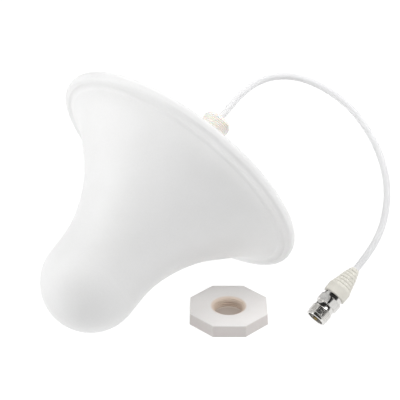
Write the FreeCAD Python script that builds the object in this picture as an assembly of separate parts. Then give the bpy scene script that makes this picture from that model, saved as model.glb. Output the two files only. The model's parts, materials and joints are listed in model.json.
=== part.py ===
import FreeCAD, Part
import math
import os

# Indoor ceiling dome antenna for a signal booster, lying on a table beside its mounting nut.
# Millimetres, +Z up from the table. The antenna is modelled upright in its own frame, with the
# stud's axis along +Z and the ceiling face at z = 0, and is then leaned onto its rim and nose.
# The connector has a frame of its own: origin at its front face, +Z back towards the cable.

# ---- radome -------------------------------------------------------------------------------
RIM_R = 100.3             # outer radius of the rim
EDGE_CORNER = 2.7         # rounding of the rim towards the nose
EDGE_DEPTH = 6.37         # and the depth of that rounding's centre
LOW_CORNER = 4.8          # rounding of the rim at the ceiling face
LIP_ANGLE = math.radians(11)       # slope of the flat lip between the rim's edge and the bell
LIP_R = 94.3              # where the lip runs into the bell
GROOVE_R = 5.0            # rounding of the shallow groove along that line
GROOVE_LIFT = 4.5         # how far outside the line the rounding's centre is
NECK_R = 35.4             # radius of the neck and of the round nose
HEIGHT = 144.9            # ceiling face to the tip of the nose
NECK_START = 106.0        # depth at which the bell turns into the straight neck
BELL = [(71.3, 26.2), (52.7, 47.6), (39.4, 75.0)]   # radius and depth between lip and neck
BELL_LEAN = (-0.97, 0.24)                           # direction of the bell as it leaves the lip
WALL = 2.4
LEDGE_R = 89.0            # inner edge of the ledge that the base plate lies on
BOSS_R = 3.8
BOSS_PCR = 82.0           # pitch circle radius of the cover screws
BOSS_DEPTH = 14.0
PILOT_R = 1.25            # thread-forming hole of an M3 screw
PILOT_DEPTH = 8.0

# ---- base plate, stud and ground plane -------------------------------------------------------
BASE_R = 93.3
SEAT_R = 93.6             # recess that holds the base plate
BASE_T = 3.4
BASE_RIB_R = 62.0
BASE_RIB_T = 2.0
BASE_RIB_H = 2.6
COVER_SCREWS = 4
SEAL_GROOVES = [(24.0, 26.0), (87.0, 89.0)]   # shallow rings in the ceiling face, for a seal
SEAL_GROOVE_T = 0.8
SCREW_HOLE_R = 1.7
SCREW_R = 1.5
SCREW_HEAD_R = 3.2
SCREW_TIP = 1.0           # how far a screw ends before the bottom of its hole
RECESS = 3.0              # cross recess of a screw: length, width and depth of its arms
RECESS_W = 0.7
RECESS_T = 1.0
GASKET_T = 0.8
FLANGE_R = 20.0
FLANGE_T = 3.0
STUD_R = 10.9             # M22 x 1.5, crest radius
STUD_ROOT_R = 9.98
STUD_BORE_R = 6.5
STUD_L = 47.0
STUD_PITCH = 1.5
STUD_THREAD_START = 1.0
STUD_UNDERCUT_R = 9.8     # plain neck below the thread, where the stud passes the base plate
STUD_TIP = 1.2            # chamfer at the stud's end
GROUND_R = 72.0
GROUND_T = 1.2
GROUND_LIP = 3.0          # rolled edge that stiffens the disc
STACK_SCREWS = 4
STACK_PCR = 15.0
STACK_PILOT = 2.4         # depth of the blind holes in the base plate
STACK_SHANK = 2.2
STACK_HEAD_R = 2.8
STACK_HEAD_T = 1.8
STUD_CLEARANCE = 0.2

# ---- radiator --------------------------------------------------------------------------------
FEED_GAP = 3.0
FEED_HOLE_R = 4.2
FEED_FLANGE_R = 7.5
PIN_R = 0.9
PIN_HEAD_R = 2.4
PIN_HEAD_T = 1.2
CONE_R = 22.0
CONE_L = 40.0
SHEET = 0.8
CONE_COLLAR = 5.0
CONE_FOOT_R = 4.0         # flat foot of the cone on its bush
CAP_SKIRT = 4.0
DRUM_L = 66.0
LAP = 0.1                 # clearance of the drum over the cone's collar
RING_INNER_R = 27.0
RING_OUTER_R = 43.0
RING_DEPTH = 42.0
RING_T = 1.0
POSTS = 3
POST_PCR = 38.0
POST_R = 1.5
POST_NUT_FLATS = 5.5
POST_NUT_T = 2.0
SPACER_DEPTH = 104.0
SPACER_T = 4.0
SPACER_ARMS = 3
SPACER_ARM_W = 6.0
SPACER_HOOP_T = 2.0
SPACER_GAP = 0.3

# ---- coaxial cable ---------------------------------------------------------------------------
CABLE_R = 2.5
BRAID_R = 1.9
DIELECTRIC_R = 1.48
CORE_R = 0.45
BUSH_L = 10.0
BUSH_RECESS = 1.0
FERRULE_R = 5.6
FERRULE_T = 1.4
FERRULE_SLEEVE_R = 2.9
FERRULE_HOLE_R = 0.85
FERRULE_TOP = -2.4
JACKET_START = -2.0

# ---- connector, an N-type jack with its strain relief boot --------------------------------------
FRONT_XY = (50.27, -118.87)            # centre of the front face over the table
DIP = math.radians(33.28)              # the connector points down by this much
HEADING = math.radians(171.71)         # and this way over the table, from +X towards +Y
MOUTH_R = 7.6
MOUTH_BEVEL = 0.4
THREAD_R = 7.94                        # 5/8-24 UNEF, crest radius
THREAD_ROOT_R = 7.3
THREAD_PITCH = 1.058
THREAD_START = 1.6
THREAD_END = 8.548
THREAD_LAND = 0.3                      # flat of a crest, as a share of the pitch
RELIEF_R = 7.15
RELIEF_START = 9.05
HEX_FLATS = 16.4
HEX_CORNER_R = 9.25
HEX_START = 12.0
HEX_END = 17.8
HEX_BEVEL = 0.9
HEX_OVERLAP = 0.5                      # how deep the hexagon reaches into the shell
HEX_STEP = 13.0                        # where the shell widens from relief to collar, inside the hexagon
COLLAR_R = 7.3
COLLAR_END = 21.0
TAIL_R = 3.6
TAIL_END = 26.0
JACK_BORE_R = 4.1
JACK_RECESS_R = 6.0       # open recess at the front of the bore
JACK_RECESS = 3.5
JACK_BORE_L = 9.0
BEAD_L = 9.0
CONTACT_R = 1.55
CONTACT_BORE_R = 0.85
CONTACT_START = 2.2
CONTACT_SLOT_L = 5.0
CONTACT_SLOT_W = 0.3
CONTACT_SLOTS = 4
CONTACT_TAIL = 3.0                     # behind the insulating bead
CONTACT_WEB = 1.0                      # solid length between the slots' end and the bore's floor
CONTACT_BEVEL = 0.3
CRIMP_R = 4.3
CRIMP_END = 33.0
CRIMP_TAPER = 2.0
CRIMP_LIP_R = 3.4
CABLE_END_START = 27.0                 # where the jacket is cut back, behind the tail
BOOT = [(21.0, 8.15), (21.5, 8.6), (28.0, 8.65), (34.5, 6.75), (39.2, 5.65), (43.9, 4.1), (46.3, 3.0)]
BOOT_L = BOOT[-1][0]

# ---- mounting nut ----------------------------------------------------------------------------
NUT_XY = (19.6, -64.3)
NUT_TURN = -3.2           # degrees
NUT_SIDES = 8
NUT_FLATS = 54.8
NUT_DRAFT = 0.5           # each side stands out this much more at the bottom
NUT_T = 8.9
NUT_CREST_R = 10.3
NUT_ROOT_R = 11.1
NUT_MOUTH_R = 12.8
NUT_MOUTH = 1.2           # depth of the wide chamfer at each end of the hole

# The cable's route from the stud's end to the boot's mouth, in the table frame.
ROUTE = [
    (81.74, 0.0, 113.90),
    (94.72, 0.0, 121.43),
    (108.6, -0.8, 128.6),
    (123.6, -2.4, 132.8),
    (137.6, -8.5, 134.6),
    (150.3, -19.5, 133.0),
    (158.3, -35.2, 127.8),
    (162.2, -55.0, 119.5),
    (159.3, -74.9, 109.3),
    (152.3, -96.2, 94.2),
    (140.4, -113.6, 75.3),
    (124.7, -122.9, 56.5),
    (105.12, -126.87, 42.73),
    (88.57, -124.46, 31.76),
]
ARC_SHARE = 0.45          # how much of the shorter run an arc takes

# ---- worked out from the above -----------------------------------------------------------------
ORIGIN = FreeCAD.Vector(0, 0, 0)
UP = FreeCAD.Vector(0, 0, 1)
GASKET_Z = -BASE_T
FLANGE_Z = GASKET_Z - GASKET_T
GROUND_Z = FLANGE_Z - FLANGE_T
FEED_Z = GROUND_Z - GROUND_T
CONE_Z = FEED_Z - FEED_GAP
DRUM_Z = CONE_Z - CONE_L
CAP_Z = DRUM_Z - DRUM_L
NOSE_CENTRE = HEIGHT - NECK_R
EDGE_R = RIM_R - EDGE_CORNER
LIP_OUTER = (EDGE_R + EDGE_CORNER * math.sin(LIP_ANGLE), EDGE_DEPTH + EDGE_CORNER * math.cos(LIP_ANGLE))
LIP_INNER = (LIP_R, LIP_OUTER[1] + (LIP_OUTER[0] - LIP_R) * math.tan(LIP_ANGLE))

# The lean at which the rim and the round nose touch the table together.
LEAN = math.atan2(EDGE_R, NOSE_CENTRE - EDGE_DEPTH) + math.asin(
    (EDGE_CORNER - NECK_R) / math.hypot(EDGE_R, NOSE_CENTRE - EDGE_DEPTH))
REST_Z = EDGE_R * math.cos(LEAN) + EDGE_DEPTH * math.sin(LEAN) + EDGE_CORNER
REST_X = 41.08            # brings the origin under the middle of the antenna's body


def turned(points):
    """A solid of revolution about Z from a closed outline of (radius, z) corners."""
    corners = [FreeCAD.Vector(r, 0, z) for r, z in points]
    return Part.Face(Part.makePolygon(corners + corners[:1])).revolve(ORIGIN, UP, 360)


def tube(outer, inner, low, high):
    return turned([(inner, low), (outer, low), (outer, high), (inner, high)])


def rod(radius, low, high, x=0.0, y=0.0):
    return Part.makeCylinder(radius, high - low, FreeCAD.Vector(x, y, low))


def around(count, radius, start=0.0):
    """The points of a bolt circle, from an angle in degrees."""
    angles = [math.radians(start + 360 * i / count) for i in range(count)]
    return [(radius * math.cos(a), radius * math.sin(a)) for a in angles]


def thread_outline(crest, root, pitch, low, high):
    """Corners of a thread's section: a flat land on each crest and a vee between two lands."""
    land = THREAD_LAND * pitch
    turns = int((high - low - land) / pitch)
    corners = []
    for i in range(turns):
        z = low + i * pitch
        corners += [(crest, z), (crest, z + land), (root, z + (pitch + land) / 2)]
    last = low + turns * pitch
    return corners + [(crest, last), (crest, high)]


def prism(sides, flats, low, high, turn=0.0, grow=0.0):
    """A regular prism, which may grow by a draft towards its low face."""
    wires = []
    for z, across in ((low, flats + 2 * grow), (high, flats)):
        radius = across / 2 / math.cos(math.pi / sides)
        ring = around(sides, radius, turn + 180 / sides)
        corners = [FreeCAD.Vector(x, y, z) for x, y in ring]
        wires.append(Part.makePolygon(corners + corners[:1]))
    return Part.makeLoft(wires, True, True)


# ---- radome ------------------------------------------------------------------------------------
def at(radius, depth):
    return FreeCAD.Vector(radius, 0, -depth)


def bell_curve(inset):
    """The bell's line from lip to neck, moved inwards by the inset."""
    points = [at(*p) for p in [LIP_INNER] + BELL + [(NECK_R, NECK_START)]]
    ends = [at(*BELL_LEAN), at(0, 1)]
    curve = Part.BSplineCurve()
    curve.interpolate(Points=points, InitialTangent=ends[0], FinalTangent=ends[1])
    if not inset:
        return curve
    moved = []
    for point in points:
        along = curve.tangent(curve.parameter(point))[0]
        moved.append(point + FreeCAD.Vector(along.z, 0, -along.x) * inset)
    inner = Part.BSplineCurve()
    inner.interpolate(Points=moved, InitialTangent=ends[0], FinalTangent=ends[1])
    return inner


def arc(centre, radius, angles):
    """An arc in the section plane through three angles, counted from the radius towards the nose."""
    ends = [at(centre[0] + radius * math.cos(a), centre[1] + radius * math.sin(a)) for a in angles]
    return Part.Arc(*ends).toShape()


def line(start, end):
    return Part.LineSegment(start, end).toShape()


def radome():
    """Bell-shaped shell with a lipped rim, a ledge for the base plate and bosses for its screws."""
    quarter = math.pi / 2
    lip_start = quarter - LIP_ANGLE
    outer_bell = bell_curve(0)
    inner_bell = bell_curve(WALL)
    cut = inner_bell.intersectCC(Part.Line(at(LEDGE_R, 0), at(LEDGE_R, 1)))
    hollow_start = FreeCAD.Vector(cut[0].X, cut[0].Y, cut[0].Z)
    inner_edge = inner_bell.copy()
    inner_edge.segment(inner_bell.parameter(hollow_start), inner_bell.LastParameter)
    inner_nose = NECK_R - WALL
    edges = [
        line(at(SEAT_R, 0), at(RIM_R - LOW_CORNER, 0)),
        arc((RIM_R - LOW_CORNER, LOW_CORNER), LOW_CORNER, (-quarter, -quarter / 2, 0)),
        line(at(RIM_R, LOW_CORNER), at(RIM_R, EDGE_DEPTH)),
        arc((EDGE_R, EDGE_DEPTH), EDGE_CORNER, (0, lip_start / 2, lip_start)),
        line(at(*LIP_OUTER), at(*LIP_INNER)),
        outer_bell.toShape(),
        line(at(NECK_R, NECK_START), at(NECK_R, NOSE_CENTRE)),
        arc((0, NOSE_CENTRE), NECK_R, (0, quarter / 2, quarter)),
        line(at(0, HEIGHT), at(0, HEIGHT - WALL)),
        arc((0, NOSE_CENTRE), inner_nose, (quarter, quarter / 2, 0)),
        line(at(inner_nose, NOSE_CENTRE), at(inner_nose, NECK_START)),
        inner_edge.toShape(),
        line(hollow_start, at(hollow_start.x, BASE_T)),
        line(at(hollow_start.x, BASE_T), at(SEAT_R, BASE_T)),
        line(at(SEAT_R, BASE_T), at(SEAT_R, 0)),
    ]
    section = Part.Face(Part.Wire(Part.__sortEdges__(edges)))
    shell = section.revolve(ORIGIN, UP, 360)
    envelope = Part.Face(Part.Wire(Part.__sortEdges__(edges[:8] + [
        line(at(0, HEIGHT), at(0, 0)), line(at(0, 0), at(SEAT_R, 0))]))).revolve(ORIGIN, UP, 360)
    for x, y in around(COVER_SCREWS, BOSS_PCR, 45):
        boss = rod(BOSS_R, -BOSS_DEPTH, GASKET_Z, x, y).common(envelope)
        shell = shell.fuse(boss)
    for x, y in around(COVER_SCREWS, BOSS_PCR, 45):
        shell = shell.cut(rod(PILOT_R, GASKET_Z - PILOT_DEPTH, GASKET_Z, x, y))
    groove = Part.makeTorus(LIP_R, GROOVE_R, at(0, LIP_INNER[1] + GROOVE_LIFT), UP)
    return shell.cut(groove)


# ---- base plate, stud, ground plane ---------------------------------------------------------------
def base_plate():
    """Ceiling plate that closes the rim, with a stiffening rib inside and seal grooves outside."""
    plate = tube(BASE_R, STUD_R + STUD_CLEARANCE, -BASE_T, 0)
    rib = tube(BASE_RIB_R, BASE_RIB_R - BASE_RIB_T, -BASE_T - BASE_RIB_H, -BASE_T)
    plate = plate.fuse(rib)
    for inner, outer in SEAL_GROOVES:
        plate = plate.cut(tube(outer, inner, -SEAL_GROOVE_T, 0))
    head = 2 * SCREW_HOLE_R
    for x, y in around(COVER_SCREWS, BOSS_PCR, 45):
        hole = rod(SCREW_HOLE_R, -BASE_T, 0, x, y)
        sink = Part.makeCone(SCREW_HOLE_R, head, SCREW_HOLE_R, FreeCAD.Vector(x, y, -SCREW_HOLE_R))
        plate = plate.cut(hole.fuse(sink))
    for x, y in around(STACK_SCREWS, STACK_PCR):
        plate = plate.cut(rod(PILOT_R, -BASE_T, -BASE_T + STACK_PILOT, x, y))
    return plate


def stud_gasket():
    gasket = tube(FLANGE_R, STUD_R + STUD_CLEARANCE, FLANGE_Z, GASKET_Z)
    for x, y in around(STACK_SCREWS, STACK_PCR):
        gasket = gasket.cut(rod(SCREW_HOLE_R, FLANGE_Z, GASKET_Z, x, y))
    return gasket


def threaded_stud():
    """Hollow moulded stud with a flange inside the base plate and an M22 thread outside."""
    outline = [(STUD_BORE_R, GROUND_Z), (FLANGE_R, GROUND_Z), (FLANGE_R, FLANGE_Z),
               (STUD_UNDERCUT_R, FLANGE_Z), (STUD_UNDERCUT_R, STUD_THREAD_START)]
    tip = STUD_L - STUD_TIP
    outline += thread_outline(STUD_R, STUD_ROOT_R, STUD_PITCH, STUD_THREAD_START, tip)
    outline += [(STUD_R - STUD_TIP, STUD_L), (STUD_BORE_R, STUD_L)]
    stud = turned(outline)
    for x, y in around(STACK_SCREWS, STACK_PCR):
        stud = stud.cut(rod(SCREW_HOLE_R, GROUND_Z, FLANGE_Z, x, y))
    return stud


def ground_plane():
    """Pressed disc with a rolled edge, a feed hole and holes for the stack screws and posts."""
    disc = turned([(FEED_HOLE_R, GROUND_Z), (FEED_HOLE_R, FEED_Z), (GROUND_R - GROUND_T, FEED_Z),
                   (GROUND_R - GROUND_T, FEED_Z - GROUND_LIP), (GROUND_R, FEED_Z - GROUND_LIP),
                   (GROUND_R, GROUND_Z)])
    for x, y in around(STACK_SCREWS, STACK_PCR):
        disc = disc.cut(rod(SCREW_HOLE_R, FEED_Z, GROUND_Z, x, y))
    for x, y in around(POSTS, POST_PCR, 90):
        disc = disc.cut(rod(POST_R, FEED_Z, GROUND_Z, x, y))
    return disc


def countersunk_screw(x, y):
    """Cover screw: a countersunk head flush with the plate, with a cross recess."""
    shank = rod(PILOT_R, GASKET_Z - PILOT_DEPTH + SCREW_TIP, -SCREW_R, x, y)
    cone = Part.makeCone(SCREW_R, SCREW_HEAD_R, SCREW_R, FreeCAD.Vector(x, y, -SCREW_R))
    screw = shank.fuse(cone)
    return cross_recess(screw, x, y, 0)


def cross_recess(screw, x, y, top):
    """Cuts a cross-shaped driver recess into a screw's top."""
    for size in ((RECESS, RECESS_W), (RECESS_W, RECESS)):
        corner = FreeCAD.Vector(x - size[0] / 2, y - size[1] / 2, top - RECESS_T)
        screw = screw.cut(Part.makeBox(size[0], size[1], RECESS_T, corner))
    return screw


def cover_screws():
    return Part.makeCompound([countersunk_screw(x, y) for x, y in around(COVER_SCREWS, BOSS_PCR, 45)])


def stack_screws():
    """Pan-head screws that clamp ground plane, flange and gasket to the base plate."""
    screws = []
    for x, y in around(STACK_SCREWS, STACK_PCR):
        shank = rod(PILOT_R, FEED_Z, -BASE_T + STACK_SHANK, x, y)
        screws.append(shank.fuse(rod(STACK_HEAD_R, FEED_Z - STACK_HEAD_T, FEED_Z, x, y)))
    return Part.makeCompound(screws)


# ---- radiator -------------------------------------------------------------------------------------
def feed_insulator():
    """Flanged bush that seats in the ground plane and carries the cone's point."""
    return turned([(PIN_R, GROUND_Z), (FEED_HOLE_R, GROUND_Z), (FEED_HOLE_R, FEED_Z),
                   (FEED_FLANGE_R, FEED_Z), (FEED_FLANGE_R, CONE_Z), (PIN_R, CONE_Z)])


def feed_pin():
    """Pin from the cable's core through the bush, with a riveted head inside the cone."""
    low = CONE_Z - SHEET - PIN_HEAD_T
    return turned([(0, low), (PIN_HEAD_R, low), (PIN_HEAD_R, CONE_Z - SHEET), (PIN_R, CONE_Z - SHEET),
                   (PIN_R, GROUND_Z), (0, GROUND_Z)])


def radiator_cone():
    """Spun cone with a flat foot on the bush and a short collar for the drum."""
    rim = DRUM_Z
    end = rim - CONE_COLLAR
    return turned([(PIN_R, CONE_Z), (CONE_FOOT_R, CONE_Z), (CONE_R, rim), (CONE_R, end),
                   (CONE_R - SHEET, end), (CONE_R - SHEET, rim - SHEET / 2),
                   (CONE_FOOT_R - SHEET / 2, CONE_Z - SHEET), (PIN_R, CONE_Z - SHEET)])


def radiator_drum():
    inner = CONE_R + LAP
    return tube(inner + SHEET, inner, CAP_Z, DRUM_Z)


def radiator_cap():
    """Lid pressed into the drum's far end."""
    skirt = CAP_Z + CAP_SKIRT
    return turned([(0, CAP_Z), (CONE_R, CAP_Z), (CONE_R, skirt), (CONE_R - SHEET, skirt),
                   (CONE_R - SHEET, CAP_Z + SHEET), (0, CAP_Z + SHEET)])


def coupling_ring():
    """Flat ring around the drum, tied to the ground plane by the shorting posts."""
    low = -RING_DEPTH - RING_T
    ring = tube(RING_OUTER_R, RING_INNER_R, low, -RING_DEPTH)
    for x, y in around(POSTS, POST_PCR, 90):
        ring = ring.cut(rod(POST_R, low, -RING_DEPTH, x, y))
    return ring


def shorting_posts():
    low = -RING_DEPTH - RING_T - POST_NUT_T
    return Part.makeCompound([rod(POST_R, low, GROUND_Z, x, y) for x, y in around(POSTS, POST_PCR, 90)])


def post_nuts():
    """Hexagon nuts that hold the coupling ring on the posts."""
    high = -RING_DEPTH - RING_T
    low = high - POST_NUT_T
    nuts = []
    for x, y in around(POSTS, POST_PCR, 90):
        nut = prism(6, POST_NUT_FLATS, low, high)
        nut.translate(FreeCAD.Vector(x, y, 0))
        nuts.append(nut.cut(rod(POST_R, low, high, x, y)))
    return Part.makeCompound(nuts)


def drum_spacer():
    """Plastic spider that centres the drum in the neck."""
    high, low = -SPACER_DEPTH, -SPACER_DEPTH - SPACER_T
    inner = CONE_R + LAP + SHEET
    reach = NECK_R - WALL - SPACER_GAP
    spider = tube(inner + SPACER_HOOP_T, inner, low, high)
    for i in range(SPACER_ARMS):
        start = inner + SPACER_HOOP_T / 2
        corner = FreeCAD.Vector(start, -SPACER_ARM_W / 2, low)
        arm = Part.makeBox(reach, SPACER_ARM_W, SPACER_T, corner)
        arm = arm.common(rod(reach, low, high))
        arm.rotate(ORIGIN, UP, 360 * i / SPACER_ARMS)
        spider = spider.fuse(arm)
    return spider


# ---- cable inside the antenna -----------------------------------------------------------------------
def cable_bush():
    """Rubber bush in the mouth of the stud."""
    high = STUD_L - BUSH_RECESS
    return tube(STUD_BORE_R, CABLE_R, high - BUSH_L, high)


def coax_jacket():
    return tube(CABLE_R, BRAID_R, JACKET_START, STUD_L)


def coax_braid():
    return tube(BRAID_R, DIELECTRIC_R, GROUND_Z + FERRULE_T, STUD_L)


def coax_dielectric():
    return tube(DIELECTRIC_R, CORE_R, GROUND_Z + FERRULE_T, STUD_L)


def coax_core():
    return rod(CORE_R, GROUND_Z, STUD_L)


def ground_ferrule():
    """Soldered sleeve that ties the braid to the ground plane."""
    shoulder = GROUND_Z + FERRULE_T
    return turned([(FERRULE_HOLE_R, GROUND_Z), (FERRULE_R, GROUND_Z), (FERRULE_R, shoulder),
                   (FERRULE_SLEEVE_R, shoulder), (FERRULE_SLEEVE_R, FERRULE_TOP), (BRAID_R, FERRULE_TOP),
                   (BRAID_R, shoulder), (FERRULE_HOLE_R, shoulder)])


# ---- free cable --------------------------------------------------------------------------------------
def pigtail_cable():
    """Round tube along the route: straight runs joined by tangent arcs."""
    points = [FreeCAD.Vector(*p) for p in ROUTE]
    edges = []
    start = points[0]
    for before, corner, after in zip(points, points[1:], points[2:]):
        back, ahead = before - corner, after - corner
        shorter = min(back.Length, ahead.Length)
        back.normalize()
        ahead.normalize()
        half_turn = (math.pi - back.getAngle(ahead)) / 2
        trim = ARC_SHARE * shorter
        radius = trim / math.tan(half_turn)
        print("bend radius", round(radius, 1), "turn", round(math.degrees(2 * half_turn), 1))
        entry, leave = corner + back * trim, corner + ahead * trim
        inward = back + ahead
        inward.normalize()
        middle = corner + inward * (radius / math.cos(half_turn) - radius)
        edges += [line(start, entry), Part.Arc(entry, middle, leave).toShape()]
        start = leave
    edges.append(line(start, points[-1]))
    path = Part.Wire(edges)
    section = Part.Wire(Part.Circle(points[0], points[1] - points[0], CABLE_R).toShape())
    cable = path.makePipeShell([section], True, False)
    print("cable length", round(path.Length, 1),
          "volume over section x length", round(cable.Volume / (math.pi * CABLE_R ** 2 * path.Length), 5))
    return cable


# ---- connector ----------------------------------------------------------------------------------------
def connector_body():
    """Nickel jack: pilot, thread, relief, hexagon, collar and the tail that the braid is crimped on."""
    outline = [(JACK_RECESS_R, 0), (MOUTH_R - MOUTH_BEVEL, 0), (MOUTH_R, MOUTH_BEVEL),
               (MOUTH_R, THREAD_START)]
    outline += thread_outline(THREAD_R, THREAD_ROOT_R, THREAD_PITCH, THREAD_START, THREAD_END)
    outline += [(RELIEF_R, RELIEF_START), (RELIEF_R, HEX_STEP), (COLLAR_R, HEX_STEP),
                (COLLAR_R, COLLAR_END), (TAIL_R, COLLAR_END), (TAIL_R, TAIL_END), (CABLE_R, TAIL_END),
                (CABLE_R, JACK_BORE_L + BEAD_L), (JACK_BORE_R, JACK_BORE_L + BEAD_L),
                (JACK_BORE_R, JACK_RECESS), (JACK_RECESS_R, JACK_RECESS)]
    face = HEX_CORNER_R - HEX_BEVEL
    rise = HEX_BEVEL / 2
    limit = turned([(0, HEX_START), (face, HEX_START), (HEX_CORNER_R, HEX_START + rise),
                    (HEX_CORNER_R, HEX_END - rise), (face, HEX_END), (0, HEX_END)])
    hexagon = prism(6, HEX_FLATS, HEX_START, HEX_END).common(limit)
    hexagon = hexagon.cut(rod(RELIEF_R - HEX_OVERLAP, HEX_START, HEX_END))
    return turned(outline).fuse(hexagon)


def connector_insulator():
    """White bead that carries the centre contact."""
    return tube(JACK_BORE_R, CONTACT_R, JACK_BORE_L, JACK_BORE_L + BEAD_L)


def centre_contact():
    """Slotted socket contact, soldered to the cable's core."""
    end = JACK_BORE_L + BEAD_L + CONTACT_TAIL
    floor = CONTACT_START + CONTACT_SLOT_L + CONTACT_WEB
    contact = turned([(CONTACT_BORE_R, CONTACT_START), (CONTACT_R - CONTACT_BEVEL, CONTACT_START),
                      (CONTACT_R, CONTACT_START + CONTACT_BEVEL), (CONTACT_R, end), (0, end),
                      (0, floor), (CONTACT_BORE_R, floor)])
    for i in range(CONTACT_SLOTS // 2):
        corner = FreeCAD.Vector(-2 * CONTACT_R, -CONTACT_SLOT_W / 2, CONTACT_START)
        slot = Part.makeBox(4 * CONTACT_R, CONTACT_SLOT_W, CONTACT_SLOT_L, corner)
        slot.rotate(ORIGIN, UP, 90 * i)
        contact = contact.cut(slot)
    return contact


def crimp_ferrule():
    return turned([(TAIL_R, COLLAR_END), (CRIMP_R, COLLAR_END), (CRIMP_R, CRIMP_END - CRIMP_TAPER),
                   (CRIMP_LIP_R, CRIMP_END), (CABLE_R, CRIMP_END), (CABLE_R, CABLE_END_START),
                   (TAIL_R, TAIL_END)])


def cable_end():
    """The cable's last stretch, inside the boot and the ferrule."""
    return rod(CABLE_R, CABLE_END_START, BOOT_L)


def connector_boot():
    """Tapered strain relief that covers the crimp."""
    outline = [(r, z) for z, r in BOOT]
    outline += [(CABLE_R, BOOT_L), (CABLE_R, CRIMP_END), (CRIMP_R, CRIMP_END), (CRIMP_R, COLLAR_END)]
    return turned(outline)


# ---- nut ------------------------------------------------------------------------------------------------
def mounting_nut():
    """Eight-sided moulded nut for the stud, lying flat."""
    body = prism(NUT_SIDES, NUT_FLATS, 0, NUT_T, NUT_TURN, NUT_DRAFT)
    thread = thread_outline(NUT_CREST_R, NUT_ROOT_R, STUD_PITCH, NUT_MOUTH, NUT_T - NUT_MOUTH)
    hole = turned([(0, 0), (NUT_MOUTH_R, 0)] + [(NUT_CREST_R, NUT_MOUTH)] + thread[1:]
                  + [(NUT_MOUTH_R, NUT_T), (0, NUT_T)])
    nut = body.cut(hole)
    nut.translate(FreeCAD.Vector(*NUT_XY, 0))
    return nut


# ---- assembly ---------------------------------------------------------------------------------------------
ANTENNA = [radome, base_plate, stud_gasket, threaded_stud, ground_plane, cover_screws, stack_screws,
           feed_insulator, feed_pin, radiator_cone, radiator_drum, radiator_cap, coupling_ring,
           shorting_posts, post_nuts, drum_spacer, cable_bush, coax_jacket, coax_braid, coax_dielectric,
           coax_core, ground_ferrule]
CONNECTOR = [connector_body, connector_insulator, centre_contact, crimp_ferrule, cable_end, connector_boot]
TABLE = [pigtail_cable, mounting_nut]


def antenna_place():
    """Leans the upright antenna so that its rim and nose lie on the table."""
    lean = FreeCAD.Rotation(FreeCAD.Vector(0, 1, 0), 90 - math.degrees(LEAN))
    return FreeCAD.Placement(FreeCAD.Vector(REST_X, 0, REST_Z), lean)


def connector_place():
    """Points the connector down so that the lower edge of its front face touches the table."""
    back = FreeCAD.Vector(-math.cos(DIP) * math.cos(HEADING), -math.cos(DIP) * math.sin(HEADING),
                          math.sin(DIP))
    front = FreeCAD.Vector(*FRONT_XY, MOUTH_R * math.cos(DIP))
    return FreeCAD.Placement(front, FreeCAD.Rotation(UP, back))


def main():
    os.makedirs("parts", exist_ok=True)
    groups = [(ANTENNA, antenna_place()), (CONNECTOR, connector_place()), (TABLE, FreeCAD.Placement())]
    for makers, place in groups:
        for make in makers:
            shape = make()
            shape.Placement = place.multiply(shape.Placement)
            if not shape.isValid():
                raise ValueError(make.__name__ + " is not a valid shape")
            shape.exportStep("parts/" + make.__name__ + ".step")
    exits = [antenna_place().multVec(FreeCAD.Vector(0, 0, STUD_L)),
             connector_place().multVec(FreeCAD.Vector(0, 0, BOOT_L))]
    print("lean", round(math.degrees(LEAN), 3), "cable ends", [[round(c, 2) for c in p] for p in exits])


main()
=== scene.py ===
import json
import math

import bmesh
import bpy
from mathutils import Matrix, Vector


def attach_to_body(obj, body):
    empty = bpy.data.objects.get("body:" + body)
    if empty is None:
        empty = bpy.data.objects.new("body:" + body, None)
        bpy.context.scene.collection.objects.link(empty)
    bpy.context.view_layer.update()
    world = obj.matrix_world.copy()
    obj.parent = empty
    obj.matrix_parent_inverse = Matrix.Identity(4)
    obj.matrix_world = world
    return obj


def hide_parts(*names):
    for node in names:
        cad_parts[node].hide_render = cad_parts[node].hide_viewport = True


# Indoor ceiling dome antenna of a signal booster, lying on its rim and nose beside its mounting nut.
# Metres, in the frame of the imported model. Pieces are drawn in a frame of their own and then placed:
# the antenna's has its origin at the ceiling face and +Z along the stud, and the connector's has its
# origin at the front face and +Z back towards the cable.

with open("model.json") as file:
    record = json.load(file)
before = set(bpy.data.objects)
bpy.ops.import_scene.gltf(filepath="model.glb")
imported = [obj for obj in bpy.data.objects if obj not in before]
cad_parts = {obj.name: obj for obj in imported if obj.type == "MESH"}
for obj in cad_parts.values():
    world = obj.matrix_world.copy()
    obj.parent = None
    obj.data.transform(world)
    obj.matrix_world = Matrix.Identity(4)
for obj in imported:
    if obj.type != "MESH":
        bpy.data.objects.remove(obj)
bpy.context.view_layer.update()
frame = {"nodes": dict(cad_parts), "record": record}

MM = 0.001
TAU = 2 * math.pi

# ---- camera, at the photograph's viewing angle ---------------------------------------------------
CAMERA_AT = Vector((-0.5930, -0.58385, 0.51007))
CAMERA_AIM = Vector((0.66224, 0.59132, -0.46020))
LENS_MM = 118.607
SENSOR_MM = 36.0

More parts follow.
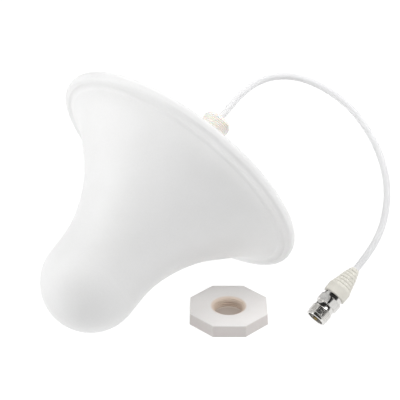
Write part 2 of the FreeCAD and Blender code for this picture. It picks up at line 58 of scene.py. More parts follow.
# ---- light ---------------------------------------------------------------------------------------
SOFT_BOX_AIM = Vector((0, 0, 0.05))
SOFT_BOXES = [               # name, place, diameter and power
    ("top", (0.15, -0.10, 1.50), 1.1, 4.6),
    ("left", (-0.75, 0.65, 0.95), 0.8, 6.4),
    ("low_left", (-0.90, 0.90, 0.35), 0.8, 3.7),
    ("back", (0.90, 0.80, 1.00), 0.8, 4.8),
    ("front", (-0.52, -0.44, 1.50), 0.8, 7.2),
    ("right", (0.55, -0.95, 0.90), 0.8, 4.6),
    ("right_back", (1.03, -0.50, 1.13), 0.8, 7.0),
]
UNREFLECTED = ("front", "top")   # soft boxes that glossy surfaces don't mirror
NUT_SPOTS = [                # place from the nut, and power
    ((0.00, -0.90, 1.15), 9.0),
    ((0.15, -1.05, 0.80), 7.0),
    ((0.50, -0.90, 0.75), 5.5),
    ((-1.00, -0.03, 0.95), 17.0),
]
NUT_SPOT_ANGLE = math.radians(4.4)
NUT_SPOT_R = 0.04
WORLD_HORIZON = 1.0          # strength of the sky at the table's level
WORLD_ABOVE = 0.03           # and higher up
WORLD_FADE = (0.02, 0.16)    # between these heights on a sphere of radius 1

# ---- table ---------------------------------------------------------------------------------------
FLOOR_R = 8
FLOOR_DROP = 0.05 * MM       # how far it lies below the object
FLOOR_TONES = ((0.13, 0.13, 0.13), (0.12, 0.12, 0.12))
FLOOR_CLOUD = 0.5            # size of its cloudy tone
FLOOR_ROUGHNESS = 0.9
FLOOR_GLOW = 0.93
NUT_SHADE = (11 * MM, 17 * MM)   # it is shaded within the first radius about the nut, up to the second
NUT_SHADE_GLOW = 0.26
NUT_SHADE_TONE = (1.0, 0.80, 0.66)
NUT_SHADE_LIFT = 6 * MM      # the shade is gone when the nut is this high
NUT_SHADE_FULL = 0.1 * MM    # and it is full below this height

# ---- where the pieces go, from the model's own mounts --------------------------------------------
MOUNTS = {mount["name"]: mount for mount in frame["record"]["mounts"]}
STUD_MOUNT_Z = 20 * MM       # the stud's mount is this far above the ceiling face
JACK_MOUNT_Z = 5 * MM        # and the connector's is this far behind its front face

# ---- threaded stud and its bush ------------------------------------------------------------------
STUD_R = 10.9 * MM
STUD_ROOT_R = 9.98 * MM
STUD_NECK_R = 9.8 * MM
STUD_BORE_R = 6.5 * MM
STUD_L = 47 * MM
STUD_PITCH = 1.5 * MM
STUD_THREAD = (1.0 * MM, 45.8 * MM)
STUD_TIP = 0.35 * MM         # rounding of its tip
STUD_MOUTH = 0.5 * MM        # and of its bore's mouth
FLANGE_R = 20 * MM
FLANGE_TOP = -4.2 * MM
FLANGE_LOW = -7.2 * MM
FLANGE_HOLE_R = 1.7 * MM
FLANGE_HOLES = 4
FLANGE_HOLE_SIDES = 24
FLANGE_EDGE = 0.3 * MM       # rounding of its rim
FLANGE_PCR = 15 * MM
BUSH_TOP = 46 * MM
BUSH_LOW = 36 * MM
BUSH_LIP = 0.5 * MM          # rounding of its top

# ---- cable, boot and connector -------------------------------------------------------------------
CABLE_R = 2.5 * MM
ROUTE_MM = [                 # corners of the cable's middle line, from the stud to the boot
    (81.74, 0.0, 113.90),
    (94.72, 0.0, 121.43),
    (108.6, -0.8, 128.6),
    (123.6, -2.4, 132.8),
    (137.6, -8.5, 134.6),
    (150.3, -19.5, 133.0),
    (158.3, -35.2, 127.8),
    (162.2, -55.0, 119.5),
    (159.3, -74.9, 109.3),
    (152.3, -96.2, 94.2),
    (140.4, -113.6, 75.3),
    (124.7, -122.9, 56.5),
    (105.12, -126.87, 42.73),
    (88.57, -124.46, 31.76),
]
# The boot's outline: how far behind the connector's front face, and the radius there.
BOOT_MM = [(21.0, 8.15), (21.5, 8.6), (28.0, 8.65), (34.5, 6.75), (39.2, 5.65), (43.9, 4.1), (46.3, 3.0)]
BOOT_STEP = 0.25 * MM
BOOT_RIBS = (28.9 * MM, 44.6 * MM)
BOOT_RIB_PITCH = 2.6 * MM
BOOT_RIB_DEPTH = 0.42 * MM
BOOT_RIB_POWER = 8           # the higher it is, the narrower the grooves between ribs
# CAD nodes inside the cable's end, which the connector carries.
CRIMP_R = 4.3 * MM
CRIMP_END = 33 * MM

PILOT_R = 7.6 * MM
PILOT_EDGE = 0.4 * MM        # rounding of the pilot's front edge
JACK_EDGE = 0.15 * MM        # easing of the shell's other edges
JACK_R = 7.94 * MM
JACK_ROOT_R = 7.3 * MM
JACK_PITCH = 1.058 * MM
JACK_THREAD = (1.6 * MM, 8.55 * MM)
RELIEF_R = 7.15 * MM
HEX_FLAT_R = 8.2 * MM
HEX_CORNER_R = 9.25 * MM
HEX = (12.0 * MM, 17.8 * MM)
HEX_BEVEL = 0.9 * MM
HEX_BEVEL_STEPS = 6
COLLAR_R = 7.3 * MM
COLLAR_END = 21 * MM
TAIL_R = 3.6 * MM
TAIL_END = 26 * MM
JACK_BORE_R = 4.1 * MM
JACK_RECESS_R = 6.0 * MM
JACK_RECESS = 3.5 * MM
JACK_FLOOR = 18 * MM

# ---- mounting nut --------------------------------------------------------------------------------
NUT_SIDES = 8
NUT_TURN = math.radians(-3.2)
NUT_FLAT_R = 27.4 * MM
NUT_DRAFT = 0.5 * MM
NUT_T = 8.9 * MM
NUT_CREST_R = 10.3 * MM
NUT_ROOT_R = 11.1 * MM
NUT_MOUTH_R = 12.8 * MM
NUT_MOUTH = 1.2 * MM
NUT_EDGE = 0.45 * MM         # rounding of its edges
NUT_EDGE_STEPS = 4
NUT_CORNER = 0.8 * MM        # rounding of its corners, seen from above
NUT_CORNER_STEPS = 6
NUT_SIDE_STEPS = 6
NUT_LIP = 0.3 * MM           # easing of the hole's edge

# ---- materials -----------------------------------------------------------------------------------
# Plastics and rubbers: light and dark tone, roughness, and the size and depth of the moulded grain.
MOULDED = {
    "radome_plastic": ((0.84, 0.84, 0.84), (0.80, 0.80, 0.795), 0.52, 1.3 * MM, 0.05 * MM),
    "plate_plastic": ((0.83, 0.83, 0.82), (0.78, 0.78, 0.77), 0.5, 0.9 * MM, 0.04 * MM),
    "stud_plastic": ((0.91, 0.885, 0.84), (0.88, 0.85, 0.80), 0.42, 0.8 * MM, 0.02 * MM),
    "cable_jacket": ((0.84, 0.84, 0.845), (0.80, 0.80, 0.81), 0.6, 0.9 * MM, 0.015 * MM),
    "boot_plastic": ((0.75, 0.73, 0.665), (0.71, 0.69, 0.62), 0.5, 0.7 * MM, 0.025 * MM),
    "bush_rubber": ((0.74, 0.72, 0.66), (0.68, 0.66, 0.60), 0.6, 0.5 * MM, 0.03 * MM),
    "gasket_rubber": ((0.030, 0.030, 0.031), (0.016, 0.016, 0.017), 0.8, 0.6 * MM, 0.12 * MM),
    "fluoropolymer": ((0.88, 0.88, 0.86), (0.82, 0.82, 0.80), 0.35, 0.9 * MM, 0.01 * MM),
    "nylon": ((0.78, 0.74, 0.64), (0.72, 0.68, 0.58), 0.42, 1.0 * MM, 0.02 * MM),
}
EXTRAS = {                   # further settings of some of their shaders
    "radome_plastic": {"Coat_Weight": 0.04},
    "stud_plastic": {"Subsurface_Weight": 0.25, "Subsurface_Scale": 2 * MM},
}
CLOUD_SIZE = 28 * MM         # of the faint cloudy tone in moulded plastic
CLOUD_DEPTH = 0.12 * MM
GRAIN_SHARE = 0.45           # of the grain in the plastic's tone; the rest is the cloud's
GRAIN_GLOSS = (-0.05, 0.07)  # how much the grain lowers and raises the roughness
# Metals: bright and dull tone, roughness, axis of the turning marks, and their size and depth.
METALS = {
    "nickel": ((0.76, 0.75, 0.73), (0.69, 0.68, 0.66), 0.14, "jack", 0.12 * MM, 0.004 * MM),
    "sheet_aluminium": ((0.82, 0.83, 0.84), (0.70, 0.71, 0.73), 0.32, "stud", 0.5 * MM, 0.01 * MM),
    "brass": ((0.80, 0.62, 0.30), (0.66, 0.49, 0.22), 0.25, "stud", 0.2 * MM, 0.006 * MM),
    "gold_contact": ((0.93, 0.72, 0.32), (0.84, 0.62, 0.25), 0.18, "jack", 0.1 * MM, 0.003 * MM),
    "steel": ((0.66, 0.66, 0.68), (0.52, 0.52, 0.54), 0.3, "up", 0.3 * MM, 0.008 * MM),
}
TARNISH_SIZE = 6 * MM
METAL_GLOSS = (0.7, 1.5)     # how much marks and tarnish scale the roughness
BRAID_TONES = ((0.30, 0.20, 0.15), (0.82, 0.62, 0.52))
BRAID_ROUGHNESS = 0.32
BRAID_STRANDS = 16           # in each of its two directions
BRAID_LAY = 1.1 * MM
BRAID_DEPTH = 0.08 * MM
# Painted light and shade on the nut: its face is given a paler, lit tone and its sides a darker, shaded
# one.
NUT_LIT_FACE_TONES = ((0.70, 0.685, 0.675), (0.665, 0.645, 0.635))
NUT_SHADED_SIDE_TONES = ((0.60, 0.565, 0.55), (0.565, 0.53, 0.515))
# Painted shade: the hole is given a darker, warm tan that stands for the shade in it and the warm light
# through the plastic.
NUT_HOLE_PAINTED_SHADE = (0.66, 0.55, 0.46)
NUT_ROUGHNESS = 0.45
NUT_CLOUD_SIZE = 14 * MM
NUT_CLOUD_DEPTH = 0.06 * MM
NUT_GRAIN_SIZE = 0.7 * MM
NUT_GRAIN_DEPTH = 0.02 * MM
NUT_GRAIN_SHARE = 0.5
NUT_HOLE_SHADE_RADII = (11.8 * MM, 13.4 * MM)   # the hole's tone turns into the others' between these radii
NUT_SHADE_TO_LIGHT_HEIGHTS = (8.3 * MM, 8.7 * MM)      # and the sides' tone into the face's between these heights

# One pitch of a thread: how far along the pitch, and how high over the root.
THREAD_SHAPE = [(0.0, 0.0), (0.10, 0.0), (0.15, 0.10), (0.40, 0.92), (0.46, 1.0), (0.64, 1.0),
                (0.70, 0.92), (0.95, 0.10)]
THREAD_RUN_IN = 0.8          # of a pitch, over which a thread rises from its root
COLUMNS = 96                 # round a turned piece
SMOOTH_ANGLE = math.radians(38)
WELD = 0.002 * MM            # points this close are joined
SLIVER = 0.001 * MM          # and edges this short are dissolved


# ==== meshes ======================================================================================
def placed(origin, up, side=None):
    """The matrix of a frame with its origin there and its +Z along up."""
    up = up.normalized()
    if side is None:
        turn = Vector((0, 0, 1)).rotation_difference(up).to_matrix()
    else:
        turn = Matrix((side.cross(up), side, up)).transposed()
    return Matrix.Translation(origin) @ turn.to_4x4()


def even_angles():
    return [TAU * i / COLUMNS for i in range(COLUMNS)]


def ring(angles, radius, z):
    """One row of points. The radius is a number, or a function of the angle."""
    radii = [radius(a) if callable(radius) else radius for a in angles]
    return [(r * math.cos(a), r * math.sin(a), z) for r, a in zip(radii, angles)]


def rings(angles, outline):
    return [ring(angles, radius, z) for radius, z in outline]


def rounding(radius, z, size, start, end, steps=5):
    """Outline points of a rounded edge about a centre, from one angle to another in degrees."""
    turns = [math.radians(start + (end - start) * i / steps) for i in range(steps + 1)]
    return [(radius + size * math.cos(t), z + size * math.sin(t)) for t in turns]


def thread_rows(angles, crest, root, pitch, span):
    """Rows of points that wind along a right-hand thread, held between two planes."""
    low, high = span
    turns = math.ceil((high - low) / pitch) + 1
    rows = []
    for turn in range(-1, turns):
        for along, height in THREAD_SHAPE:
            row = []
            for angle in angles:
                z = low + pitch * (turn + along + angle / TAU)
                z = min(max(z, low), high)
                rise = min((z - low) / pitch, (high - z) / pitch, THREAD_RUN_IN) / THREAD_RUN_IN
                radius = root + (crest - root) * height * rise
                row.append((radius * math.cos(angle), radius * math.sin(angle), z))
            rows.append(row)
    return rows


def skin(bm, rows, shift=0):
    """Faces between rows of points. A thread's rows meet shift rows further on after one turn."""
    verts = [[bm.verts.new(p) for p in row] for row in rows]
    last = len(rows) - 1
    count = len(rows[0])
    for k in range(last):
        for j in range(count):
            if j + 1 < count:
                a, b = verts[k][j + 1], verts[k + 1][j + 1]
            else:
                a, b = verts[min(k + shift, last)][0], verts[min(k + 1 + shift, last)][0]
            corners = (verts[k][j], a, b, verts[k + 1][j])
            if len(set(corners)) == len(corners):
                bm.faces.new(corners)


def piece_from(name, bm, place, material):
    """Finishes a piece: joins its sections, places it and gives it a material."""
    bmesh.ops.remove_doubles(bm, verts=bm.verts, dist=WELD)
    bmesh.ops.dissolve_degenerate(bm, edges=bm.edges, dist=SLIVER)
    bmesh.ops.recalc_face_normals(bm, faces=bm.faces)
    bmesh.ops.transform(bm, matrix=place, verts=bm.verts)
    mesh = bpy.data.meshes.new(name)
    bm.to_mesh(mesh)
    bm.free()
    mesh.shade_smooth()
    mesh.set_sharp_from_angle(angle=SMOOTH_ANGLE)
    mesh.materials.append(material)
    piece = bpy.data.objects.new(name, mesh)
    bpy.context.scene.collection.objects.link(piece)
    return piece


def turned_piece(name, angles, sections, place, material):
    """A piece of revolution from sections: an outline of (radius, z), or a thread's rows."""
    bm = bmesh.new()
    for kind, content in sections:
        if kind == "thread":
            skin(bm, content, len(THREAD_SHAPE))
        else:
            skin(bm, rings(angles, content))
    return piece_from(name, bm, place, material)


def attach(piece, body, slot, *nodes):
    """Lets a piece ride on a body and stand for CAD nodes, which are hidden; the slot is not used."""
    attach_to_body(piece, body)
    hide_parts(*nodes)


# ==== materials ===================================================================================
def shader(name, roughness, **constants):
    """A new material's node tree and shader. Constants are set on the shader's own sockets."""
    material = bpy.data.materials.new(name)
    material.use_nodes = True
    tree = material.node_tree
    tree.nodes.clear()
    out = tree.nodes.new("ShaderNodeOutputMaterial")
    face = tree.nodes.new("ShaderNodeBsdfPrincipled")
    tree.links.new(face.outputs["BSDF"], out.inputs["Surface"])
    face.inputs["Roughness"].default_value = roughness
    for socket, value in constants.items():
        face.inputs[socket.replace("_", " ")].default_value = value
    return material, tree, face


def place_in(tree):
    """A point's place in the object's own frame, in metres."""
    return tree.nodes.new("ShaderNodeTexCoord").outputs["Object"]


def noise(tree, where, size, detail=2.0, roughness=0.5):
    """Noise whose features are about that size in metres."""
    node = tree.nodes.new("ShaderNodeTexNoise")
    node.inputs["Scale"].default_value = 1 / size
    node.inputs["Detail"].default_value = detail
    node.inputs["Roughness"].default_value = roughness
    tree.links.new(where, node.inputs["Vector"])
    return node.outputs["Fac"]


def spread(tree, value, low, high, start=0.3, end=0.7):
    """Maps a value between start and end to low..high. As given, that is a noise's middle range."""
    node = tree.nodes.new("ShaderNodeMapRange")
    for socket, number in (("From Min", start), ("From Max", end), ("To Min", low), ("To Max", high)):
        node.inputs[socket].default_value = number
    tree.links.new(value, node.inputs["Value"])
    return node.outputs["Result"]


def math_node(tree, operation, *values):
    node = tree.nodes.new("ShaderNodeMath")
    node.operation = operation
    for socket, value in zip(node.inputs, values):
        if isinstance(value, (int, float)):
            socket.default_value = value
        else:
            tree.links.new(value, socket)
    return node.outputs[0]


def mixed(tree, pattern, first, second):
    """A colour between two, each of which is a constant tone or another pattern's colour."""
    node = tree.nodes.new("ShaderNodeMix")
    node.data_type = "RGBA"
    tree.links.new(pattern, node.inputs["Factor"])
    colours = [socket for socket in node.inputs if socket.type == "RGBA"]
    for socket, tone in zip(colours, (first, second)):
        if isinstance(tone, tuple):
            socket.default_value = (*tone, 1)
        else:
            tree.links.new(tone, socket)
    return next(socket for socket in node.outputs if socket.type == "RGBA")


def two_tone(tree, face, pattern, first, second):
    """Colours the surface between two tones."""
    tree.links.new(mixed(tree, pattern, first, second), face.inputs["Base Color"])


def bumps(tree, face, *layers):
    """Relief from layers of (pattern, depth in metres)."""
    normal = None
    for pattern, depth in layers:
        node = tree.nodes.new("ShaderNodeBump")
        node.inputs["Distance"].default_value = depth
        tree.links.new(pattern, node.inputs["Height"])
        if normal is not None:
            tree.links.new(normal, node.inputs["Normal"])
        normal = node.outputs["Normal"]
    tree.links.new(normal, face.inputs["Normal"])


def cloud_and_grain(tree, where, cloud_size, grain_size, share):
    """The two patterns of moulded plastic, and the tone that they make together."""
    cloud = noise(tree, where, cloud_size, 3.0)
    grain = noise(tree, where, grain_size, 4.0, 0.6)
    rest = math_node(tree, "MULTIPLY", cloud, 1 - share)
    tone = spread(tree, math_node(tree, "MULTIPLY_ADD", grain, share, rest), 0.0, 1.0)
    return cloud, grain, tone


def grained_gloss(tree, face, grain, roughness):
    low, high = (roughness + change for change in GRAIN_GLOSS)
    tree.links.new(spread(tree, grain, low, high), face.inputs["Roughness"])


def moulded(name, light, dark, roughness, grain_size, depth, **constants):
    """Moulded plastic or rubber: a faint cloudy tone, a spark-eroded grain and slight waviness."""
    material, tree, face = shader(name, roughness, **constants)
    cloud, grain, tone = cloud_and_grain(tree, place_in(tree), CLOUD_SIZE, grain_size, GRAIN_SHARE)
    two_tone(tree, face, tone, light, dark)
    grained_gloss(tree, face, grain, roughness)
    bumps(tree, face, (cloud, CLOUD_DEPTH), (grain, depth))
    return material


def along(tree, where, axis):
    """How far a point lies along an axis, in metres."""
    node = tree.nodes.new("ShaderNodeVectorMath")
    node.operation = "DOT_PRODUCT"
    node.inputs[1].default_value = axis
    tree.links.new(where, node.inputs[0])
    return node.outputs["Value"]


def height_of(tree, where):
    """A point's height over the origin, in metres."""
    split = tree.nodes.new("ShaderNodeSeparateXYZ")
    tree.links.new(where, split.inputs[0])
    return split.outputs["Z"]


def from_axis(tree, where, centre):
    """How far a point lies from an upright axis, in metres."""
    shift = tree.nodes.new("ShaderNodeVectorMath")
    shift.operation = "SUBTRACT"
    shift.inputs[1].default_value = centre
    flat = tree.nodes.new("ShaderNodeVectorMath")
    flat.operation = "MULTIPLY"
    flat.inputs[1].default_value = (1, 1, 0)
    reach = tree.nodes.new("ShaderNodeVectorMath")
    reach.operation = "LENGTH"
    tree.links.new(where, shift.inputs[0])
    tree.links.new(shift.outputs["Vector"], flat.inputs[0])
    tree.links.new(flat.outputs["Vector"], reach.inputs[0])
    return reach.outputs["Value"]


def lathe_marks(tree, where, axis, size):
    """A pattern of fine rings about an axis, as turning leaves them."""
    node = tree.nodes.new("ShaderNodeTexNoise")
    node.noise_dimensions = "1D"
    node.inputs["Scale"].default_value = 1 / size
    node.inputs["Detail"].default_value = 3.0
    tree.links.new(along(tree, where, axis), node.inputs["W"])
    return node.outputs["Fac"]


def metal(name, bright, dull, roughness, axis, ring_size, depth):
    """Metal with turning or rolling marks across an axis, and a slight uneven tarnish."""
    material, tree, face = shader(name, roughness, Metallic=1.0)
    where = place_in(tree)
    marks = lathe_marks(tree, where, axis, ring_size)
    tarnish = noise(tree, where, TARNISH_SIZE, 4.0, 0.6)
    two_tone(tree, face, spread(tree, tarnish, 0.0, 1.0), bright, dull)
    sheen = math_node(tree, "MULTIPLY_ADD", marks, 0.5, math_node(tree, "MULTIPLY", tarnish, 0.5))
    low, high = (roughness * scale for scale in METAL_GLOSS)
    tree.links.new(spread(tree, sheen, low, high), face.inputs["Roughness"])
    bumps(tree, face, (marks, depth))
    return material


def braid(name, axis, middle):
    """Braided wire: two sets of strands that cross as they wind about the axis."""
    material, tree, face = shader(name, BRAID_ROUGHNESS, Metallic=1.0)
    where = place_in(tree)
    shift = tree.nodes.new("ShaderNodeVectorMath")
    shift.operation = "SUBTRACT"
    shift.inputs[1].default_value = middle
    tree.links.new(where, shift.inputs[0])
    side = Vector((0, 1, 0))
    x = along(tree, shift.outputs["Vector"], side.cross(axis))
    y = along(tree, shift.outputs["Vector"], side)
    z = along(tree, shift.outputs["Vector"], axis)
    angle = math_node(tree, "MULTIPLY", math_node(tree, "ARCTAN2", y, x), BRAID_STRANDS)
    lead = math_node(tree, "MULTIPLY", z, TAU / BRAID_LAY)
    right = math_node(tree, "SINE", math_node(tree, "ADD", angle, lead))
    left = math_node(tree, "SINE", math_node(tree, "SUBTRACT", angle, lead))
    weave = math_node(tree, "MAXIMUM", right, left)
    two_tone(tree, face, spread(tree, weave, 0.0, 1.0, -0.2, 0.9), *BRAID_TONES)
    bumps(tree, face, (weave, BRAID_DEPTH))
    return material


def nut_plastic(name, centre):
    """The nut's plastic, with painted light and shade: palest on its lit face, darker on its shaded
    sides, and a darker warm tan painted in its hole as shade.
    """
    material, tree, face = shader(name, NUT_ROUGHNESS)
    where = place_in(tree)
    cloud, grain, tone = cloud_and_grain(tree, where, NUT_CLOUD_SIZE, NUT_GRAIN_SIZE, NUT_GRAIN_SHARE)
    # Painted light on the face and painted shade on the sides, blended by height.
    top = mixed(tree, tone, *NUT_LIT_FACE_TONES)
    sides = mixed(tree, tone, *NUT_SHADED_SIDE_TONES)
    outside = mixed(tree, spread(tree, height_of(tree, where), 0.0, 1.0, *NUT_SHADE_TO_LIGHT_HEIGHTS), sides, top)
    # Painted shade in the hole, by distance from the nut's axis.
    hole = spread(tree, from_axis(tree, where, centre), 1.0, 0.0, *NUT_HOLE_SHADE_RADII)
    two_tone(tree, face, hole, outside, NUT_HOLE_PAINTED_SHADE)
    grained_gloss(tree, face, grain, NUT_ROUGHNESS)
    bumps(tree, face, (cloud, NUT_CLOUD_DEPTH), (grain, NUT_GRAIN_DEPTH))
    return material


def make_materials(axes, stud_middle, nut):
    """One material for each of the record's slots."""
    made = {name: moulded(name, *look, **EXTRAS.get(name, {})) for name, look in MOULDED.items()}
    for name, (bright, dull, roughness, axis, ring_size, depth) in METALS.items():
        made[name] = metal(name, bright, dull, roughness, axes[axis], ring_size, depth)
    made["nut_plastic"] = nut_plastic("nut_plastic", nut)
    made["copper_braid"] = braid("copper_braid", axes["stud"], stud_middle)
    return made


# ==== pieces ======================================================================================
def make_stud(place, material):
    """Hollow stud with a real helical thread, and its flange with holes for four screws."""
    angles = even_angles()
    top = [(STUD_ROOT_R, STUD_THREAD[1])]
    top += rounding(STUD_NECK_R - STUD_TIP, STUD_L - STUD_TIP, STUD_TIP, 0, 90)
    bore = rounding(STUD_BORE_R + STUD_MOUTH, STUD_L - STUD_MOUTH, STUD_MOUTH, 90, 180)
    rim = FLANGE_R - FLANGE_EDGE
    flange = [(STUD_BORE_R, FLANGE_LOW), (rim, FLANGE_LOW), (FLANGE_R, FLANGE_LOW + FLANGE_EDGE),
              (FLANGE_R, FLANGE_TOP - FLANGE_EDGE), (rim, FLANGE_TOP), (STUD_NECK_R, FLANGE_TOP),
              (STUD_NECK_R, STUD_THREAD[0]), (STUD_ROOT_R, STUD_THREAD[0])]
    thread = thread_rows(angles, STUD_R, STUD_ROOT_R, STUD_PITCH, STUD_THREAD)
    sections = [("outline", flange), ("thread", thread), ("outline", top + bore + [flange[0]])]
    stud = turned_piece("stud_moulding", angles, sections, place, material)
    drills = flange_drills(place, material)
    cut = stud.modifiers.new("holes", "BOOLEAN")
    cut.object = drills
    cut.solver = "EXACT"
    apply_modifiers(stud)
    bpy.data.objects.remove(drills)
    attach(stud, "antenna", "stud_plastic", "threaded_stud")


def flange_drills(place, material):
    """Rods where the flange's screw holes are cut."""
    rods = bmesh.new()
    middle = (FLANGE_LOW + FLANGE_TOP) / 2
    for i in range(FLANGE_HOLES):
        turn = TAU * i / FLANGE_HOLES
        centre = Matrix.Translation((FLANGE_PCR * math.cos(turn), FLANGE_PCR * math.sin(turn), middle))
        bmesh.ops.create_cone(rods, cap_ends=True, segments=FLANGE_HOLE_SIDES, radius1=FLANGE_HOLE_R,
                              radius2=FLANGE_HOLE_R, depth=2 * (FLANGE_TOP - FLANGE_LOW), matrix=centre)
    return piece_from("hole_cutter", rods, place, material)


def apply_modifiers(piece):
    """Replaces a piece's mesh by what its modifiers make of it."""
    shown = piece.evaluated_get(bpy.context.evaluated_depsgraph_get())
    mesh = bpy.data.meshes.new_from_object(shown)
    piece.modifiers.clear()
    piece.data = mesh


def make_bush(place, material):
    """Rubber bush with rounded lips, in the stud's mouth."""
    outline = [(CABLE_R, BUSH_LOW), (STUD_BORE_R, BUSH_LOW)]
    outline += rounding(STUD_BORE_R - BUSH_LIP, BUSH_TOP - BUSH_LIP, BUSH_LIP, 0, 90)
    outline += rounding(CABLE_R + BUSH_LIP, BUSH_TOP - BUSH_LIP, BUSH_LIP, 90, 180)
    outline += [(CABLE_R, BUSH_LOW)]
    bush = turned_piece("bush_moulding", even_angles(), [("outline", outline)], place, material)
    attach(bush, "antenna", "bush_rubber", "cable_bush")


def hexagon(limit):
    """Radius round a hexagon whose corners are turned off at a limit."""
    half = math.pi / 6

    def radius(angle):
        away = (angle + half) % (2 * half) - half
        return min(HEX_FLAT_R / math.cos(away), limit)
    return radius


def make_jack(place, material):
    """Connector shell: pilot, helical thread, relief, hexagon with turned-off corners, collar, tail."""
    angles = even_angles()
    edge = JACK_EDGE
    front = [(JACK_BORE_R, JACK_FLOOR), (JACK_BORE_R, JACK_RECESS), (JACK_RECESS_R, JACK_RECESS),
             (JACK_RECESS_R, edge), (JACK_RECESS_R + edge, 0)]
    front += rounding(PILOT_R - PILOT_EDGE, PILOT_EDGE, PILOT_EDGE, -90, 0)
    front += [(PILOT_R, JACK_THREAD[0] - edge), (JACK_ROOT_R, JACK_THREAD[0])]
    bevel = []
    for i in range(HEX_BEVEL_STEPS + 1):
        share = i / HEX_BEVEL_STEPS
        bevel.append((hexagon(HEX_CORNER_R - HEX_BEVEL * (1 - share)), HEX_BEVEL / 2 * share))
    back = [(JACK_ROOT_R, JACK_THREAD[1]), (RELIEF_R, JACK_THREAD[1] + 2 * edge),
            (RELIEF_R, HEX[0] - edge), (RELIEF_R + edge, HEX[0])]
    back += [(radius, HEX[0] + z) for radius, z in bevel]
    back += [(radius, HEX[1] - z) for radius, z in reversed(bevel)]
    back += [(COLLAR_R + edge, HEX[1]), (COLLAR_R, HEX[1] + edge), (COLLAR_R, COLLAR_END - edge),
             (COLLAR_R - edge, COLLAR_END), (TAIL_R, COLLAR_END), (TAIL_R, TAIL_END),
             (CABLE_R, TAIL_END), (CABLE_R, JACK_FLOOR), (JACK_BORE_R, JACK_FLOOR)]
    thread = thread_rows(angles, JACK_R, JACK_ROOT_R, JACK_PITCH, JACK_THREAD)
    sections = [("outline", front), ("thread", thread), ("outline", back)]
    jack = turned_piece("jack_shell", angles, sections, place, material)
    attach(jack, "antenna", "nickel", "connector_body")
    return jack


def boot_radius(z):
    """The boot's outer radius there, between the corners of its outline, with grooves between ribs."""
    corners = [(a * MM, r * MM) for a, r in BOOT_MM]
    radius = corners[-1][1]
    for (z0, r0), (z1, r1) in zip(corners, corners[1:]):
        if z0 <= z <= z1:
            radius = r0 + (r1 - r0) * (z - z0) / (z1 - z0)
            break
    if BOOT_RIBS[0] < z < BOOT_RIBS[1]:
        wave = math.sin(math.pi * (z - BOOT_RIBS[0]) / BOOT_RIB_PITCH)
        radius -= BOOT_RIB_DEPTH * wave ** BOOT_RIB_POWER
    return radius


def make_boot(place, material):
    """Strain relief: a plain barrel over the crimp, then a taper with ribs."""
    start, end = BOOT_MM[0][0] * MM, BOOT_MM[-1][0] * MM
    steps = round((end - start) / BOOT_STEP)
    outline = [(CRIMP_R, start)]
    for i in range(steps + 1):
        z = start + (end - start) * i / steps
        outline.append((boot_radius(z), z))
    outline += [(CABLE_R, end), (CABLE_R, CRIMP_END), (CRIMP_R, CRIMP_END), (CRIMP_R, start)]
    boot = turned_piece("boot_moulding", even_angles(), [("outline", outline)], place, material)
    attach(boot, "antenna", "boot_plastic", "connector_boot")
    return boot


def octagon(flat_radius, corner):
    """Points round the nut's outline, with rounded corners."""
    half = math.pi / NUT_SIDES
    points = []
    centre = (flat_radius - corner) / math.cos(half)
    for side in range(NUT_SIDES):
        turn = NUT_TURN + (2 * side + 1) * half
        for i in range(NUT_CORNER_STEPS + 1):
            at = turn + half * (2 * i / NUT_CORNER_STEPS - 1)
            points.append((centre * math.cos(turn) + corner * math.cos(at),
                           centre * math.sin(turn) + corner * math.sin(at)))
        after = turn + 2 * half
        start = points[-1]
        end = (centre * math.cos(after) + corner * math.cos(after - half),
               centre * math.sin(after) + corner * math.sin(after - half))
        for i in range(1, NUT_SIDE_STEPS):
            points.append(tuple(a + (b - a) * i / NUT_SIDE_STEPS for a, b in zip(start, end)))
    return points


def make_nut(place, material):
    """Eight-sided nut with rounded edges, a slight draft and a helical thread in its hole."""
    def outline(inset, z):
        draft = NUT_DRAFT * (1 - z / NUT_T)
        return [(x, y, z) for x, y in octagon(NUT_FLAT_R + draft - inset, NUT_CORNER)]

    bevel = []
    for i in range(NUT_EDGE_STEPS + 1):
        turn = math.pi / 2 * i / NUT_EDGE_STEPS
        bevel.append((NUT_EDGE * (1 - math.sin(turn)), NUT_EDGE * (1 - math.cos(turn))))
    outer = [outline(inset, z) for inset, z in bevel]
    outer += [outline(inset, NUT_T - z) for inset, z in reversed(bevel)]
    angles = [math.atan2(y, x) for x, y, z in outer[0]]
    angles = [a if a >= angles[0] else a + TAU for a in angles]
    thread = thread_rows(angles, NUT_CREST_R, NUT_ROOT_R, STUD_PITCH, (NUT_MOUTH, NUT_T - NUT_MOUTH))
    ease = NUT_MOUTH_R - NUT_LIP / 3
    low = [(NUT_ROOT_R, NUT_MOUTH), (ease, NUT_LIP / 2), (NUT_MOUTH_R + NUT_LIP, 0)]
    high = [(NUT_MOUTH_R + NUT_LIP, NUT_T), (ease, NUT_T - NUT_LIP / 2), (NUT_ROOT_R, NUT_T - NUT_MOUTH)]
    bm = bmesh.new()
    skin(bm, rings(angles, low) + outer + rings(angles, high))
    skin(bm, thread, len(THREAD_SHAPE))
    nut = piece_from("nut_moulding", bm, place, material)
    attach(nut, "nut", "nut_plastic", "mounting_nut")
    return nut


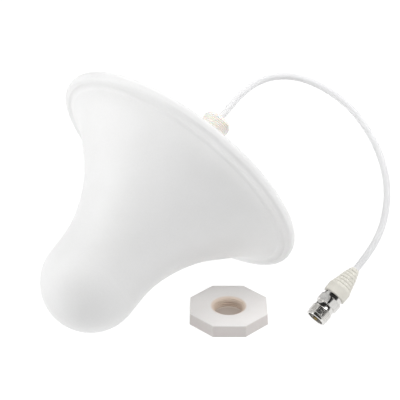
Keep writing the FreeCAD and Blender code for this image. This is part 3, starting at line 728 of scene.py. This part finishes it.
def make_cable(material):
    """The pigtail: a stiff coaxial cable in one free arch from the stud to the boot."""
    curve = bpy.data.curves.new("pigtail", "CURVE")
    curve.dimensions = "3D"
    curve.resolution_u = 16
    curve.bevel_depth = CABLE_R
    curve.bevel_resolution = 8
    spline = curve.splines.new("NURBS")
    spline.points.add(len(ROUTE_MM) - 1)
    for point, (x, y, z) in zip(spline.points, ROUTE_MM):
        point.co = (x * MM, y * MM, z * MM, 1)
    spline.order_u = 3
    spline.use_endpoint_u = True
    curve.materials.append(material)
    cable = bpy.data.objects.new("pigtail", curve)
    bpy.context.scene.collection.objects.link(cable)
    attach(cable, "antenna", "cable_jacket", "pigtail_cable")
    return cable


# ==== studio ======================================================================================
def add_camera():
    data = bpy.data.cameras.new("camera")
    data.lens = LENS_MM
    data.sensor_width = SENSOR_MM
    camera = bpy.data.objects.new("camera", data)
    camera.location = CAMERA_AT
    camera.rotation_euler = CAMERA_AIM.to_track_quat("-Z", "Y").to_euler()
    bpy.context.scene.collection.objects.link(camera)
    bpy.context.scene.camera = camera


def add_light(name, kind, at, aim, power):
    """A light at a place, turned towards another, unseen by the camera itself."""
    data = bpy.data.lights.new(name, kind)
    data.energy = power
    light = bpy.data.objects.new(name, data)
    light.location = at
    light.rotation_euler = (Vector(aim) - Vector(at)).to_track_quat("-Z", "Y").to_euler()
    light.visible_camera = False
    light.visible_glossy = name not in UNREFLECTED
    bpy.context.scene.collection.objects.link(light)
    return data


def add_lights(nut):
    """Round soft boxes about the table, and narrow spots that reach the nut under the bell."""
    for name, at, size, power in SOFT_BOXES:
        box = add_light(name, "AREA", at, SOFT_BOX_AIM, power)
        box.shape = "DISK"
        box.size = size
    for number, (way, power) in enumerate(NUT_SPOTS):
        spot = add_light(f"nut_spot_{number}", "SPOT", nut + Vector(way), nut, power)
        spot.spot_size = NUT_SPOT_ANGLE
        spot.spot_blend = 1.0
        spot.shadow_soft_size = NUT_SPOT_R


def add_world():
    """A pale band along the horizon under a dim sky, so that metal has something dark to show."""
    world = bpy.data.worlds.new("studio")
    world.use_nodes = True
    bpy.context.scene.world = world
    tree = world.node_tree
    tree.nodes.clear()
    out = tree.nodes.new("ShaderNodeOutputWorld")
    light = tree.nodes.new("ShaderNodeBackground")
    where = tree.nodes.new("ShaderNodeTexCoord").outputs["Generated"]
    height = spread(tree, height_of(tree, where), WORLD_HORIZON, WORLD_ABOVE, *WORLD_FADE)
    tree.links.new(height, light.inputs["Strength"])
    tree.links.new(light.outputs[0], out.inputs["Surface"])


def add_floor(nut, nut_piece):
    """A pale table that glows, save in the hole of the nut for as long as the nut lies on it."""
    bm = bmesh.new()
    bmesh.ops.create_circle(bm, cap_ends=True, segments=COLUMNS, radius=FLOOR_R)
    material, tree, face = shader("floor", FLOOR_ROUGHNESS)
    two_tone(tree, face, noise(tree, place_in(tree), FLOOR_CLOUD), *FLOOR_TONES)
    beside = tree.nodes.new("ShaderNodeTexCoord")
    beside.object = nut_piece
    from_nut = beside.outputs["Object"]
    under = spread(tree, from_axis(tree, from_nut, nut), 1.0, 0.0, *NUT_SHADE)
    closed = spread(tree, height_of(tree, from_nut), 0.0, 1.0, -NUT_SHADE_LIFT, -NUT_SHADE_FULL)
    shade = math_node(tree, "MULTIPLY", under, closed)
    glow = spread(tree, shade, FLOOR_GLOW, NUT_SHADE_GLOW, 0.0, 1.0)
    tree.links.new(glow, face.inputs["Emission Strength"])
    tree.links.new(mixed(tree, shade, (1, 1, 1), NUT_SHADE_TONE), face.inputs["Emission Color"])
    floor = piece_from("floor", bm, Matrix.Translation((0, 0, -FLOOR_DROP)), material)


def main():
    stud_axis = Vector(MOUNTS["stud"]["axis"]).normalized()
    ceiling = Vector(MOUNTS["stud"]["pos_m"]) - stud_axis * STUD_MOUNT_Z
    jack_back = -Vector(MOUNTS["connector_thread"]["axis"]).normalized()
    jack_front = Vector(MOUNTS["connector_thread"]["pos_m"]) - jack_back * JACK_MOUNT_Z
    nut = Vector(MOUNTS["nut_thread"]["pos_m"])
    nut.z = 0
    antenna_place = placed(ceiling, stud_axis, Vector((0, 1, 0)))
    jack_place = placed(jack_front, jack_back)

    axes = {"stud": stud_axis, "jack": jack_back, "up": Vector((0, 0, 1))}
    materials = make_materials(axes, ceiling, nut)
    for part in frame["record"]["subparts"]:
        for held in frame["nodes"][part["node"]].material_slots:
            held.material = materials[part["material_slot"]]

    add_camera()
    cable = make_cable(materials["cable_jacket"])
    make_stud(antenna_place, materials["stud_plastic"])
    make_bush(antenna_place, materials["bush_rubber"])
    jack = make_jack(jack_place, materials["nickel"])
    boot = make_boot(jack_place, materials["boot_plastic"])
    nut_piece = make_nut(Matrix.Translation(nut), materials["nut_plastic"])

    add_world()
    add_floor(nut, nut_piece)
    add_lights(nut)
    settings = bpy.context.scene.view_settings
    settings.view_transform = "Standard"


main()
